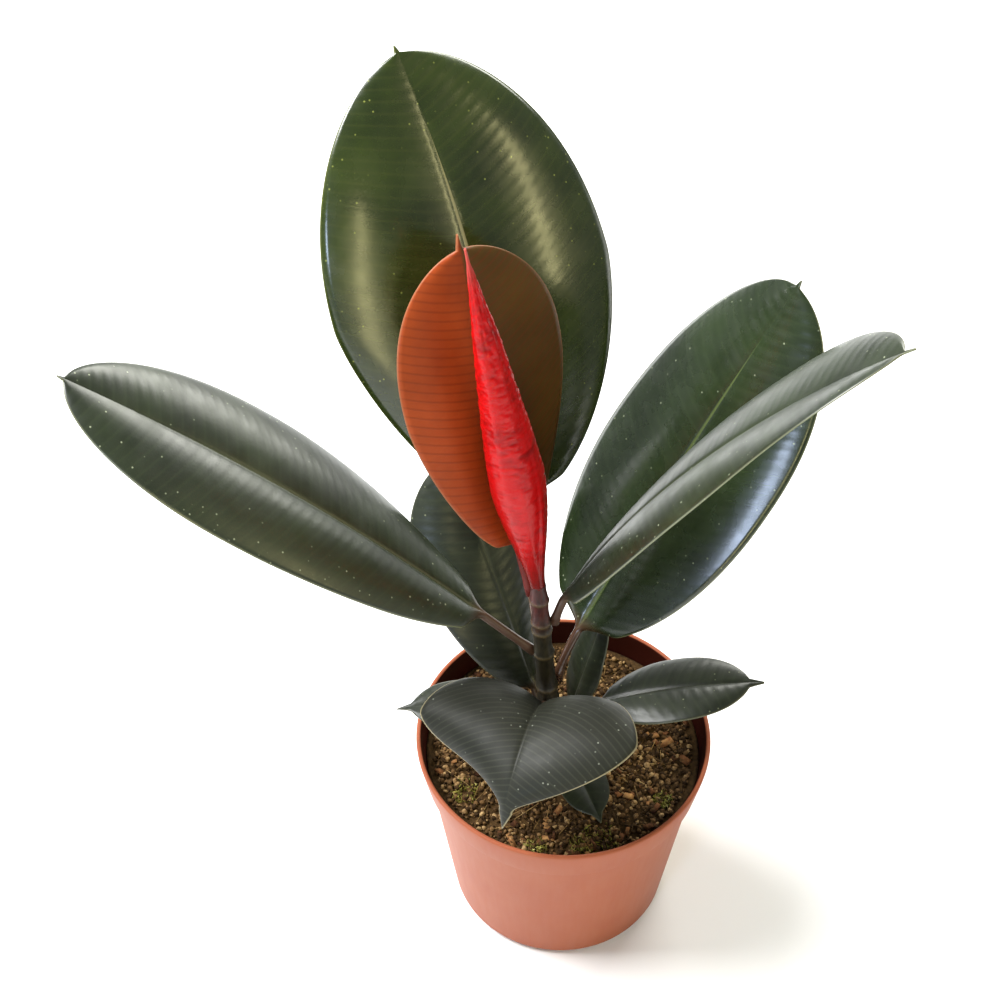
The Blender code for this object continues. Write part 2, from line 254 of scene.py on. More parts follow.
@dataclass(frozen=True)
class LeafFinish:
    """Living rubber-plant leaf: a thick wax cuticle, glossy above and matt beneath.

    The wax gives a soft broad shine over a dark blade, with fine straight side veins, a paler
    midrib and scattered pale pores. A thin pale line along the margin is a painted edge highlight.
    """

    name: str
    face: str
    face_deep: str
    back: str
    vein: str
    midrib: str
    # Painted edge highlight: the pale colour laid along the blade's edge.
    margin: str
    stalk: str
    pore: str = "#aab08a"
    # Painted shade: a darker colour multiplied into the blade's right half.
    right_half_shade: str = "#ffffff"
    vein_strength: float = 0.12
    midrib_strength: float = 0.8
    edge_highlight_strength: float = 0.6
    pore_strength: float = 0.4
    roughness: float = 0.24
    back_roughness: float = 0.62
    coat: float = 0.4
    shine: float = 0.5

    def material(self) -> bpy.types.Material:
        """Builds the leaf material from the marks that Leaf writes on its mesh."""
        material, tree, place = start_material(self.name)
        marks = {
            name: add_node(tree, "Attribute", give="Fac", attribute_name=name)
            for name in LEAF_MARKS
        }

        # Clouds of lighter and darker green, about 26 mm across.
        blotch = add_node(
            tree, "TexNoise", {"Vector": place, "Scale": 38.0, "Detail": 4.0, "Roughness": 0.55}
        )
        face = add_node(
            tree, "ValToRGB", {"Fac": blotch}, stops=[(0.32, self.face_deep), (0.68, self.face)]
        )
        # Painted shade: the blade's right half is multiplied by a darker, greener colour than its
        # left.
        on_left = add_node(tree, "MapRange", [marks["across"], -0.6 * MM, 0.6 * MM])
        half = add_node(
            tree, "ValToRGB", {"Fac": on_left}, stops=[(0.0, self.right_half_shade), (1.0, "#ffffff")]
        )
        face = lay_coats(tree, face, [(1.0, half)], blend="MULTIPLY")

        # Side veins lie at whole numbers of the vein mark, which counts them from the leaf's base.
        from_vein = add_node(tree, "Math", [marks["vein"], 0.5], operation="PINGPONG")
        vein = add_node(
            tree, "MapRange", [from_vein, 0.02, 0.2, self.vein_strength, 0.0],
            interpolation_type="SMOOTHSTEP"
        )

        # Pores: pale dots about 0.5 mm across, in more of the 3 mm cells near the margin.
        pores = add_node(tree, "TexVoronoi", {"Vector": place, "Scale": 330.0})
        dot = add_node(tree, "MapRange", [pores, 0.05, 0.15, self.pore_strength, 0.0])
        near_margin = add_node(tree, "MapRange", [marks["edge"], 3 * MM, 16 * MM, 0.4, 0.0])
        chance = add_node(tree, "Math", [pores.node.outputs["Color"], near_margin], operation="ADD")
        lucky = add_node(tree, "MapRange", [chance, 0.72, 0.82])
        dots = add_node(tree, "Math", [dot, lucky], operation="MULTIPLY")

        from_midrib = add_node(tree, "Math", [marks["across"]], operation="ABSOLUTE")
        in_ribs = add_node(tree, "Math", [from_midrib, marks["rib"]], operation="DIVIDE")
        midrib = add_node(
            tree, "MapRange", [in_ribs, 0.35, 1.0, self.midrib_strength, 0.0],
            interpolation_type="SMOOTHSTEP"
        )
        # Painted edge highlight: a thin pale line along the margin, on both faces.
        margin = add_node(
            tree, "MapRange", [marks["edge"], 0.2 * MM, 0.6 * MM, self.edge_highlight_strength, 0.0]
        )
        face = lay_coats(tree, face, [(vein, self.vein), (dots, self.pore), (midrib, self.midrib)])
        back = lay_coats(tree, self.back, [(vein, self.midrib)])
        coats = [(marks["upper"], face), (margin, self.margin), (marks["stalk"], self.stalk)]
        colour = lay_coats(tree, back, coats)

        # Wax bloom in 8 mm patches, and the fine 1 mm grain of the cuticle.
        wax = add_node(tree, "TexNoise", {"Vector": place, "Scale": 120.0, "Detail": 5.0})
        face_roughness = add_node(
            tree, "MapRange", [wax, 0.3, 0.7, self.roughness - 0.03, self.roughness + 0.08]
        )
        roughness = add_node(
            tree, "Mix",
            {"Factor_Float": marks["upper"], "A_Float": self.back_roughness,
             "B_Float": face_roughness}
        )
        grain = add_node(tree, "TexNoise", {"Vector": place, "Scale": 900.0, "Detail": 2.0})
        height = add_node(tree, "Math", [grain, 0.25, vein], operation="MULTIPLY_ADD")
        bump = add_node(tree, "Bump", {"Strength": 0.22, "Distance": 0.25 * MM, "Height": height})
        return dress(material, {
            "Base Color": colour, "Roughness": roughness, "Normal": bump,
            "Coat Weight": self.coat, "Coat Roughness": self.roughness * 0.6,
            "Specular IOR Level": self.shine,
        })


@dataclass(frozen=True)
class PotFinish:
    """Injection-moulded polypropylene, coloured like fired clay.

    The moulding leaves a satin skin with faint upright flow marks. Inside, the wall is painted
    a deep red-brown, much darker than the outside, as painted shade.
    """

    outside: str = "#975136"
    outside_pale: str = "#9a563a"
    # Painted shade: the inner wall is coloured much darker than the outside.
    inside: str = "#2e0c06"

    def material(self) -> bpy.types.Material:
        """Builds the pot material from the inner mark that Pot writes on its mesh."""
        material, tree, place = start_material("polypropylene_terracotta")
        cloud = add_node(tree, "TexNoise", {"Vector": place, "Scale": 55.0, "Detail": 4.0})
        outside = add_node(
            tree, "ValToRGB", {"Fac": cloud}, stops=[(0.35, self.outside), (0.7, self.outside_pale)]
        )
        # The inner mark carries the painted shade of the inner wall.
        inner = add_node(tree, "Attribute", give="Fac", attribute_name="inner")

        # Flow marks are 2.4 mm wide and twelve times as tall.
        tall = add_node(tree, "Mapping", {"Vector": place, "Scale": (1.0, 1.0, 0.08)})
        flow = add_node(tree, "TexNoise", {"Vector": tall, "Scale": 420.0, "Detail": 3.0})
        roughness = add_node(tree, "MapRange", [flow, 0.3, 0.7, 0.46, 0.5])
        return dress(material, {
            "Base Color": lay_coats(tree, outside, [(inner, self.inside)]),
            "Roughness": roughness,
            "Specular IOR Level": 0.15,
            "Normal": add_node(
                tree, "Bump", {"Strength": 0.03, "Distance": 0.2 * MM, "Height": flow}
            ),
        })


@dataclass(frozen=True)
class LitterFinish:
    """Loose growing medium: dry, matt and fibrous, each bit with its own tint."""

    name: str
    dark: str
    middle: str
    pale: str
    grain: float = 700.0

    def material(self) -> bpy.types.Material:
        """Builds the material from the tint mark that SoilBed writes on each bit."""
        material, tree, place = start_material(self.name)
        tint = add_node(tree, "Attribute", give="Fac", attribute_name="tint")
        grain = add_node(
            tree, "TexNoise",
            {"Vector": place, "Scale": self.grain, "Detail": 6.0, "Roughness": 0.65}
        )
        mixed = add_node(tree, "Math", [grain, 0.8, tint], operation="MULTIPLY_ADD")
        return dress(material, {
            "Base Color": add_node(
                tree, "ValToRGB", {"Fac": mixed},
                stops=[(0.35, self.dark), (0.75, self.middle), (1.0, self.pale)]
            ),
            "Roughness": 0.92,
            "Specular IOR Level": 0.2,
            "Normal": add_node(
                tree, "Bump", {"Strength": 0.8, "Distance": 0.5 * MM, "Height": grain}
            ),
        })


@dataclass(frozen=True)
class StemFinish:
    """Young green-brown bark that turns red at the growing tip, with pale corky rings."""

    low: str = "#2a2410"
    high: str = "#4e150c"
    ring: str = "#584a2c"

    def material(self) -> bpy.types.Material:
        """Builds the stem material from the ring and ripe marks that Stem writes on its mesh."""
        material, tree, place = start_material("young_bark")
        ripe = add_node(tree, "Attribute", give="Fac", attribute_name="ripe")
        ring = add_node(tree, "Attribute", give="Fac", attribute_name="ring")

        # Bark streaks are 1.4 mm wide and four times as tall.
        streaks = add_node(tree, "Mapping", {"Vector": place, "Scale": (1.0, 1.0, 0.25)})
        bark = add_node(tree, "TexNoise", {"Vector": streaks, "Scale": 700.0, "Detail": 5.0})
        shade = add_node(
            tree, "ValToRGB", {"Fac": bark}, stops=[(0.3, "#8a8a80"), (0.7, "#ffffff")]
        )
        ground = lay_coats(tree, self.low, [(ripe, self.high)])
        shaded = lay_coats(tree, ground, [(1.0, shade)], blend="MULTIPLY")
        return dress(material, {
            "Base Color": lay_coats(tree, shaded, [(ring, self.ring)]),
            "Roughness": 0.5,
            "Normal": add_node(
                tree, "Bump", {"Strength": 0.4, "Distance": 0.3 * MM, "Height": bark}
            ),
        })


@dataclass(frozen=True)
class SheathFinish:
    """Fleshy bud scale: wet-looking red skin, puckered across, paler at its tip."""

    red: str = "#b7090d"
    # Deep holds the random cloudy tone and the painted shade in the pucker valleys.
    deep: str = "#840508"
    tip: str = "#cc5a50"
    foot: str = "#4a1510"

    def material(self) -> bpy.types.Material:
        """Builds the sheath material from the share and pucker marks that BudSheath writes."""
        material, tree, place = start_material("bud_scale_skin")
        share = add_node(tree, "Attribute", give="Fac", attribute_name="share")
        pucker = add_node(tree, "Attribute", give="Fac", attribute_name="pucker")
        cloud = add_node(tree, "TexNoise", {"Vector": place, "Scale": 90.0, "Detail": 3.0})
        # Painted shade: pucker valleys are painted deeper red and crests brighter, mixed with
        # random clouds.
        mixed = add_node(tree, "Math", [pucker, 0.45, cloud], operation="MULTIPLY_ADD")
        skin = add_node(
            tree, "ValToRGB", {"Fac": mixed}, stops=[(0.4, self.deep), (0.75, self.red)]
        )
        to_tip = add_node(tree, "MapRange", [share, 0.9, 1.0, 0.0, 0.8])
        to_foot = add_node(tree, "MapRange", [share, 0.0, 0.16, 0.85, 0.0])
        fine = add_node(tree, "TexNoise", {"Vector": place, "Scale": 1100.0, "Detail": 2.0})
        return dress(material, {
            "Base Color": lay_coats(tree, skin, [(to_tip, self.tip), (to_foot, self.foot)]),
            "Roughness": 0.27,
            "Specular IOR Level": 0.2,
            "Subsurface Weight": 0.12,
            "Subsurface Radius": (2.0 * MM, 0.4 * MM, 0.3 * MM),
            "Normal": add_node(
                tree, "Bump", {"Strength": 0.25, "Distance": 0.2 * MM, "Height": fine}
            ),
        })


@dataclass(frozen=True)
class FloorFinish:
    """Matt white-painted board under the plant."""

    white: str = "#f1f2f3"

    def material(self) -> bpy.types.Material:
        """Builds the floor material, with a barely seen roller texture about 3 mm across."""
        material, tree, place = start_material("painted_board")
        roller = add_node(tree, "TexNoise", {"Vector": place, "Scale": 330.0})
        return dress(material, {
            "Base Color": linear(self.white),
            "Roughness": 0.8,
            "Normal": add_node(
                tree, "Bump", {"Strength": 0.03, "Distance": 0.2 * MM, "Height": roller}
            ),
        })


# Pot and soil


@dataclass
class Pot:
    """The nursery pot: a tapered wall with a collar, a foot ring and drained floor."""

    height: float = 98.0 * MM
    rim_radius: float = 60.5 * MM
    base_radius: float = 45.5 * MM
    neck_radius: float = 57.0 * MM
    collar_height: float = 17.0 * MM
    collar_step: float = 1.2 * MM
    wall: float = 1.3 * MM
    floor: float = 3.4 * MM
    recess: float = 2.0 * MM
    base_round: float = 3.0 * MM
    foot_width: float = 7.0 * MM
    pad_radius: float = 12.0 * MM
    drain_count: int = 6
    drain_radius: float = 4.0 * MM
    drain_circle: float = 26.0 * MM
    steps: int = 168

    @property
    def neck(self) -> float:
        """The height of the collar's lower edge."""
        return self.height - self.collar_height

    def outside(self, height: float) -> float:
        """The wall's outer radius below the collar."""
        return lerp(self.base_radius, self.neck_radius - self.collar_step, height / self.neck)

    def inside(self, height: float) -> float:
        """The wall's inner radius at any height above the floor."""
        if height <= self.neck:
            return self.outside(height) - self.wall
        above = (height - self.neck) / self.collar_height
        return lerp(self.neck_radius + 0.6 * MM, self.rim_radius - 0.8 * MM, above) - self.wall

    def profile(self) -> list[tuple[float, float]]:
        """The wall's outline as (radius, height), from the floor's centre to the underside's."""
        lip, collar_low = 0.8 * MM, self.neck_radius + 0.6 * MM
        foot_inner = self.base_radius - self.base_round - self.foot_width
        return [
            (0.0, self.floor),
            (self.inside(self.floor) - 2 * MM, self.floor),
            (self.inside(self.floor + 2 * MM), self.floor + 2 * MM),
            (self.inside(self.neck), self.neck),
            (collar_low - self.wall, self.neck + 2 * MM),
            (self.rim_radius - lip - self.wall, self.height - lip),
            (self.rim_radius - lip - self.wall / 2, self.height),
            (self.rim_radius - lip / 2, self.height),
            (self.rim_radius, self.height - lip),
            (self.rim_radius - 0.3 * MM, self.height - 3 * MM),
            (collar_low, self.neck),
            (self.outside(self.neck), self.neck - 0.6 * MM),
            (self.outside(self.base_round), self.base_round),
            (self.base_radius - 0.9 * MM, 0.9 * MM),
            (self.base_radius - self.base_round, 0.0),
            (foot_inner, 0.0),
            (foot_inner - 1 * MM, self.recess),
            (self.pad_radius + 1 * MM, self.recess),
            (self.pad_radius, 0.0),
            (0.0, 0.0),
        ]

    def build(self) -> None:
        """Spins the wall, softens its corners, drills the drains and marks the inner skin."""
        bm = bmesh.new()
        verts = [bm.verts.new((radius, 0.0, height)) for radius, height in self.profile()]
        edges = [bm.edges.new(pair) for pair in zip(verts, verts[1:])]
        bmesh.ops.spin(
            bm, geom=verts + edges, cent=(0, 0, 0), axis=(0, 0, 1), angle=2 * math.pi,
            steps=self.steps, use_merge=True
        )
        bmesh.ops.remove_doubles(bm, verts=bm.verts, dist=1e-6)
        bmesh.ops.dissolve_degenerate(bm, edges=bm.edges, dist=1e-6)
        bmesh.ops.recalc_face_normals(bm, faces=bm.faces)
        sharp = [e for e in bm.edges if e.is_manifold and e.calc_face_angle() > math.radians(18)]
        bmesh.ops.bevel(
            bm, geom=sharp, affect="EDGES", offset=0.35 * MM, segments=3, profile=0.5, material=-1
        )
        bm = self._drill(bm)
        inner = bm.verts.layers.float.new("inner")
        for vert in bm.verts:
            radius = math.hypot(vert.co.x, vert.co.y)
            in_wall = vert.co.z > self.floor - 0.1 * MM
            vert[inner] = float(in_wall and radius < self.inside(vert.co.z) + 0.3 * self.wall)
        finish_object("pot_shell", bm, PotFinish().material(), ["pot"])

    def _drill(self, bm: bmesh.types.BMesh) -> bmesh.types.BMesh:
        """Frees the blank wall and returns it with its drain holes cut by a Boolean."""
        drills = bmesh.new()
        for index in range(self.drain_count):
            turn = 2 * math.pi * index / self.drain_count
            place = Vector((math.cos(turn), math.sin(turn), 0.0)) * self.drain_circle
            bmesh.ops.create_cone(
                drills, cap_ends=True, segments=32, radius1=self.drain_radius,
                radius2=self.drain_radius, depth=4 * self.floor, matrix=Matrix.Translation(place)
            )
        blank, drill = as_object("pot_blank", bm), as_object("drills", drills)
        cut = blank.modifiers.new("drains", "BOOLEAN")
        cut.object, cut.operation, cut.solver = drill, "DIFFERENCE", "EXACT"
        graph = bpy.context.evaluated_depsgraph_get()
        drilled = bmesh.new()
        drilled.from_mesh(bpy.data.meshes.new_from_object(blank.evaluated_get(graph)))
        for obj in (blank, drill):
            bpy.data.objects.remove(obj, do_unlink=True)
        return drilled


class Litter(Enum):
    """The kinds of bit that lie on the soil."""

    CRUMB = "peat_crumbs"
    BARK = "bark_chips"
    FIBRE = "coir_fibres"
    MOSS = "moss_tufts"


LITTER_FINISHES = {
    Litter.CRUMB: LitterFinish("sphagnum_peat", "#33220f", "#765836", "#b8986a"),
    Litter.BARK: LitterFinish("pine_bark", "#3a2010", "#7e5230", "#ae8250", 500.0),
    Litter.FIBRE: LitterFinish("coconut_coir", "#4c381e", "#937446", "#c4a672", 900.0),
    Litter.MOSS: LitterFinish("dry_moss", "#5c5622", "#a8a24a", "#d8d084", 600.0),
}


@dataclass
class SoilBed:
    """The potting soil: a rough bed with crumbs, bark, coir and moss on it."""

    pot: Pot
    below_rim: float = 12.0 * MM
    mound: float = 2.5 * MM
    gap: float = 0.5 * MM
    clear_of_wall: float = 2.5 * MM
    fibre_length: tuple[float, float] = (5.0 * MM, 15.0 * MM)
    bit_radius: tuple[float, float] = (0.45 * MM, 1.5 * MM)
    crumple: float = 0.45 * MM
    crumple_spacing: float = 1.1 * MM
    around: int = 144
    rows: int = 46
    bed_tint: float = 0.1
    seed: int = 7
    scoop: int = 40
    counts: dict[Litter, int] = field(
        default_factory=lambda: {
            Litter.CRUMB: 5200, Litter.BARK: 200, Litter.FIBRE: 240, Litter.MOSS: 700
        }
    )
    moss_spots: tuple[tuple[float, float, float], ...] = (
        (0.014, -0.045, 0.008), (0.006, -0.049, 0.005), (-0.040, -0.022, 0.006),
        (-0.012, -0.049, 0.005), (0.036, 0.030, 0.006), (0.040, -0.026, 0.004)
    )

    @property
    def top(self) -> float:
        """The height of the soil at the wall."""
        return self.pot.height - self.below_rim

    def surface(self, x: float, y: float) -> float:
        """The height of the rough soil at a place."""
        share = min(1.0, math.hypot(x, y) / self.pot.inside(self.top))
        lumps = 1.5 * MM * noise.noise(Vector((x, y, 0.3)) / (11 * MM))
        lumps += 0.8 * MM * noise.noise(Vector((x, y, 0.7)) / (4 * MM))
        return self.top + self.mound * (1 - share * share) + lumps * (1 - share**8)

    def build(self) -> None:
        """Builds the bed and then each kind of litter on it, the same each time."""
        self._bed()
        noise.seed_set(self.seed)
        chance = random.Random(self.seed)
        for kind in Litter:
            heap = bmesh.new()
            heap.verts.layers.float.new("tint")
            for first in range(0, self.counts[kind], self.scoop):
                bm = bmesh.new()
                bm.verts.layers.float.new("tint")
                for _ in range(min(self.scoop, self.counts[kind] - first)):
                    self._drop(bm, kind, chance)
                mesh = bpy.data.meshes.new("scoop")
                bm.to_mesh(mesh)
                bm.free()
                heap.from_mesh(mesh)
                bpy.data.meshes.remove(mesh)
            finish_object(kind.value, heap, LITTER_FINISHES[kind].material())

    def _bed(self) -> None:
        """Builds the soil's body, from the pot's floor up to its rough top."""
        wall = [self.pot.floor + 3 * MM, self.pot.neck, self.top - 1 * MM]
        outline = [(0.0, self.pot.floor + self.gap), (38 * MM, self.pot.floor + self.gap)]
        outline += [(self.pot.inside(height) - self.gap, height) for height in wall]
        rings = []
        for radius, height in outline:
            rings.append([self._round(column, radius, height) for column in range(self.around)])
        for row in range(self.rows, -1, -1):
            radius = (self.pot.inside(self.top) - self.gap) * row / self.rows
            ring = [self._round(column, radius, 0.0) for column in range(self.around)]
            rings.append([Vector((p.x, p.y, self.surface(p.x, p.y))) for p in ring])
        bm = sleeve(rings, {"tint": [[self.bed_tint] * self.around] * len(rings)})
        material = LitterFinish("moist_peat", "#33230f", "#644a29", "#967a4c").material()
        finish_object("soil_bed", bm, material, ["potting_soil"])

    def _round(self, column: int, radius: float, height: float) -> Vector:
        """A point on a circle about the pot's axis."""
        turn = 2 * math.pi * column / self.around
        return Vector((radius * math.cos(turn), radius * math.sin(turn), height))

    def _drop(self, bm: bmesh.types.BMesh, kind: Litter, chance: random.Random) -> None:
        """Adds one bit of litter at a place of its own.

        Args:
            bm: The bmesh of that kind of litter.
            kind: What the bit is.
            chance: The seeded source of sizes and places.
        """
        reach = self.pot.inside(self.top) - self.clear_of_wall
        length = chance.uniform(*self.fibre_length) if kind is Litter.FIBRE else 2.0 * MM
        reach -= length / 2
        turn, radius = chance.uniform(0, 2 * math.pi), reach * math.sqrt(chance.random())
        x, y = radius * math.cos(turn), radius * math.sin(turn)
        tint = lerp(-0.1, 0.55, chance.random() ** 1.6)
        size = lerp(*self.bit_radius, chance.random() ** 2)
        if kind is Litter.MOSS:
            spot = self.moss_spots[chance.randrange(len(self.moss_spots))]
            spread = spot[2] * math.sqrt(chance.random())
            x, y = spot[0] + spread * math.cos(turn), spot[1] + spread * math.sin(turn)
        if math.hypot(x, y) > reach:
            return
        before = len(bm.verts)
        if kind is Litter.CRUMB:
            bmesh.ops.create_icosphere(bm, subdivisions=1, radius=size)
            scale = Vector((1.0, chance.uniform(0.6, 1.0), chance.uniform(0.45, 0.8)))
        elif kind is Litter.BARK:
            bmesh.ops.create_cube(bm, size=2.0 * size)
            scale = Vector((chance.uniform(1.2, 2.6), chance.uniform(0.6, 1.2), 0.35))
        elif kind is Litter.FIBRE:
            bmesh.ops.create_cone(
                bm, cap_ends=True, segments=5, radius1=0.18 * MM, radius2=0.12 * MM, depth=1.0
            )
            scale = Vector((1.0, 1.0, length))
        else:
            bmesh.ops.create_cone(
                bm, cap_ends=True, segments=4, radius1=0.5 * MM, radius2=0.12 * MM, depth=2.2 * MM
            )
            scale = Vector((1.0, 0.5, chance.uniform(0.6, 1.2)))
        bm.verts.ensure_lookup_table()
        added = bm.verts[before:]
        if kind is Litter.FIBRE:
            tilt = Matrix.Rotation(math.pi / 2 + chance.uniform(-0.25, 0.25), 4, "Y")
        elif kind is Litter.MOSS:
            tilt = Matrix.Rotation(chance.uniform(-1.2, 1.2), 4, "Y")
        else:
            tilt = Matrix.Rotation(chance.uniform(-0.5, 0.5), 4, "Y")
        spin = Matrix.Rotation(chance.uniform(0, 2 * math.pi), 4, "Z")
        lift = 0.4 * MM + (0.3 * size if kind is Litter.CRUMB else chance.uniform(0, 0.9) * MM)
        place = Matrix.Translation((x, y, self.surface(x, y) + lift))
        bmesh.ops.scale(bm, verts=added, vec=scale)
        bmesh.ops.transform(bm, verts=added, matrix=place @ spin @ tilt)
        layer = bm.verts.layers.float["tint"]
        for vert in added:
            vert[layer] = tint
            vert.co += noise.noise_vector(vert.co / self.crumple_spacing) * self.crumple


# Stem and bud sheath


@dataclass
class Stem:
    """The upright stem, with a corky ring at each leaf."""

    pot: Pot
    below_rim: float = 12.0 * MM
    foot_x: float = -4.5 * MM
    foot_y: float = 4.0 * MM
    lean: float = 4.0
    height: float = 102.0 * MM
    buried: float = 30.0 * MM
    radius: float = 4.4 * MM
    tip_radius: float = 3.0 * MM
    swell: float = 0.5 * MM
    swell_reach: float = 4 * MM
    ring_width: float = 0.7 * MM
    ring_height: float = 0.35 * MM
    roughness: float = 0.18 * MM
    ripe_from: float = 70 * MM
    ripe_over: float = 20 * MM
    leaves_above_soil: tuple[float, ...] = ()
    row_step: float = 0.6 * MM
    around: int = 28

    @property
    def foot(self) -> Vector:
        """Where the stem leaves the soil."""
        return Vector((self.foot_x, self.foot_y, self.pot.height - self.below_rim))

    def point(self, height: float) -> Vector:
        """The stem's axis at a height."""
        slope = math.tan(math.radians(self.lean))
        return Vector((self.foot.x - (height - self.foot.z) * slope, self.foot.y, height))

    def radius_at(self, height: float) -> float:
        """The stem's radius at a height, without its rings."""
        share = (height - self.foot.z) / self.height
        return lerp(self.radius, self.tip_radius, min(1.0, max(0.0, share)))

    def build(self) -> None:
        """Builds the stem from rings of points, from its buried foot up."""
        rows = round((self.height + self.buried) / self.row_step)
        rings, ring_marks, ripe_marks = [], [], []
        for row in range(rows + 1):
            above = (self.height + self.buried) * row / rows - self.buried
            height = self.foot.z + above
            nearest = min(abs(above - node + 1.5 * MM) for node in self.leaves_above_soil)
            body = self.swell * math.exp(-((nearest / self.swell_reach) ** 2))
            ridge = math.exp(-((nearest / self.ring_width) ** 2))
            rings.append([self._skin(height, turn, body, ridge) for turn in range(self.around)])
            ring_marks.append([0.65 * ridge] * self.around)
            ripe = smooth((above - self.ripe_from) / self.ripe_over)
            ripe_marks.append([ripe] * self.around)
        bm = sleeve(rings, {"ring": ring_marks, "ripe": ripe_marks})
        finish_object("stem_bark", bm, StemFinish().material(), ["stem"])

    def _skin(self, height: float, column: int, body: float, ridge: float) -> Vector:
        """A point on the bark.

        Args:
            height: Its height.
            column: Which of the points round the stem it is.
            body: How far the stem swells there.
            ridge: 1 on a ring, and 0 away from it.
        """
        turn = 2 * math.pi * column / self.around
        way = Vector((math.cos(turn), math.sin(turn), 0.0))
        rough = noise.noise(Vector((way.x, way.y, height / (9 * MM))) * 1.7)
        radius = self.radius_at(height) + body + self.ring_height * ridge + self.roughness * rough
        return self.point(height) + way * radius


@dataclass
class BudSheath:
    """The rolled bud scale on top of the stem, with its free edge winding up it."""

    stem: Stem
    length: float = 157.0 * MM
    radius: float = 9.6 * MM
    widest: float = 0.36
    heading: float = 150.0
    rise: tuple[float, float] = (80.0, 78.0)
    lap: float = 0.55 * MM
    pucker: float = 0.62 * MM
    pucker_length: float = 2.4 * MM
    long_fold: float = 0.5 * MM
    long_fold_length: float = 0.04
    rows: int = 380
    around: int = 84

    def radius_at(self, share: float) -> float:
        """The sheath's radius, share of the way from its foot to its tip."""
        if share < self.widest:
            swell = math.sin(math.pi / 2 * share / self.widest) ** 1.5
            return lerp(self.stem.tip_radius, self.radius, swell)
        climbed = (share - self.widest) / (1 - self.widest)
        left = (1 - climbed**1.2) * (1 - 0.25 * smooth((climbed - 0.6) / 0.25))
        return max(0.45 * MM, self.radius * left)

    def build(self) -> None:
        """Builds the sheath from rings of points along its leaning axis."""
        point = self.stem.point(self.stem.foot.z + self.stem.height) - Vector((0, 0, 1 * MM))
        rings, shares, puckers = [], [], []
        for row in range(self.rows + 1):
            share = row / self.rows
            tangent = direction(self.heading, lerp(*self.rise, share))
            side = direction(self.heading + 90, 0)
            front = tangent.cross(side)
            ring, marks = [], []
            for column in range(self.around):
                turn = 2 * math.pi * column / self.around
                offset, pucker = self._relief(share, turn)
                radius = self.radius_at(share) + offset
                ring.append(point + (side * math.cos(turn) + front * math.sin(turn)) * radius)
                marks.append(pucker)
            rings.append(ring)
            shares.append([share] * self.around)
            puckers.append(marks)
            point = point + tangent * (self.length / self.rows)
        bm = sleeve(rings, {"share": shares, "pucker": puckers})
        finish_object("bud_scale", bm, SheathFinish().material(), ["bud_sheath"])

    def _relief(self, share: float, turn: float) -> tuple[float, float]:
        """The overlap step and the puckers.

        Args:
            share: How far up the sheath.
            turn: The angle round it, in radians.

        Returns:
            How far the skin stands out, and 0 in a pucker's valley to 1 on its crest.
        """
        wound = (turn - 1.1 - 0.9 * share) % (2 * math.pi)
        step = self.lap * smooth(wound / 0.12) * (1 - wound / (2 * math.pi))
        along = share * self.length
        way = Vector((math.cos(turn), math.sin(turn), 0.0))
        pattern = way * 1.8 + Vector((0, 0, along / self.pucker_length))
        crest = 0.5 + 0.45 * noise.noise(pattern) + 0.3 * noise.noise(pattern * 2.1)
        long_fold = noise.noise(way * 2.2 + Vector((0, 0, along / self.long_fold_length)))
        fade = smooth(share / 0.15) * smooth((1 - share) / 0.12)
        puckered = fade * (0.35 + 0.65 * smooth((share - 0.15) / 0.3))
        rise = self.pucker * puckered * crest + self.long_fold * fade * long_fold
        return step * fade + rise, crest


# Leaves


class LeafAge(Enum):
    """How old a leaf is, which sets its finish."""

    MATURE = "mature"
    DARK = "dark"
    OLDER = "older"
    SHADED = "shaded"
    FIRST = "first"
    COPPER = "copper"


LEAF_FINISHES = {
    LeafAge.MATURE: LeafFinish(
        "mature_leaf", face="#2e3a0f", face_deep="#1b2608", back="#6f7a50", vein="#4b4f22",
        midrib="#9c9468", margin="#70723c", stalk="#4e3626", pore="#a3aa55", edge_highlight_strength=0.4,
        pore_strength=0.6
    ),
    LeafAge.DARK: LeafFinish(
        "dark_leaf", face="#243018", face_deep="#17210f", back="#626c4c", vein="#3a452a",
        midrib="#5d6a3c", margin="#7c7e5e", stalk="#4a3224", pore="#b4bc9c", midrib_strength=0.5,
        edge_highlight_strength=0.5, pore_strength=0.55, roughness=0.24
    ),
    LeafAge.OLDER: LeafFinish(
        "older_leaf", face="#252e1a", face_deep="#181f11", back="#626c4c", vein="#3a452a",
        midrib="#4c5236", margin="#7c7e5e", stalk="#4a3224", pore="#b4bc9c", midrib_strength=0.4,
        edge_highlight_strength=0.5, pore_strength=0.6, roughness=0.35, coat=0.05, shine=0.65
    ),
    LeafAge.SHADED: LeafFinish(
        "shaded_leaf", face="#252b1c", face_deep="#161b11", back="#5c634a", vein="#39402c",
        midrib="#3a3d2c", margin="#6f6c50", stalk="#3e2c1e", vein_strength=0.15,
        midrib_strength=0.3, edge_highlight_strength=0.25, roughness=0.4, coat=0.15, shine=0.4
    ),
    LeafAge.FIRST: LeafFinish(
        "first_leaf", face="#23241c", face_deep="#181a13", back="#6a6c54", vein="#484a3c",
        midrib="#3c3d30", margin="#a89c78", stalk="#3e2c1e", pore="#a8ad9c", vein_strength=0.2,
        midrib_strength=0.1, edge_highlight_strength=0.7, pore_strength=0.5, roughness=0.52, coat=0.0,
        shine=0.25
    ),
    # The copper leaf's right half is painted darker and greener as painted shade.
    LeafAge.COPPER: LeafFinish(
        "copper_leaf", face="#a64618", face_deep="#8e3910", back="#7d3f2c", vein="#6e2c0e",
        midrib="#5f1c14", margin="#9a6a46", stalk="#5e1a14", right_half_shade="#8fe7bc",
        vein_strength=0.4, edge_highlight_strength=0.45, pore_strength=0.0, roughness=0.45, coat=0.0,
        shine=0.25
    ),
}


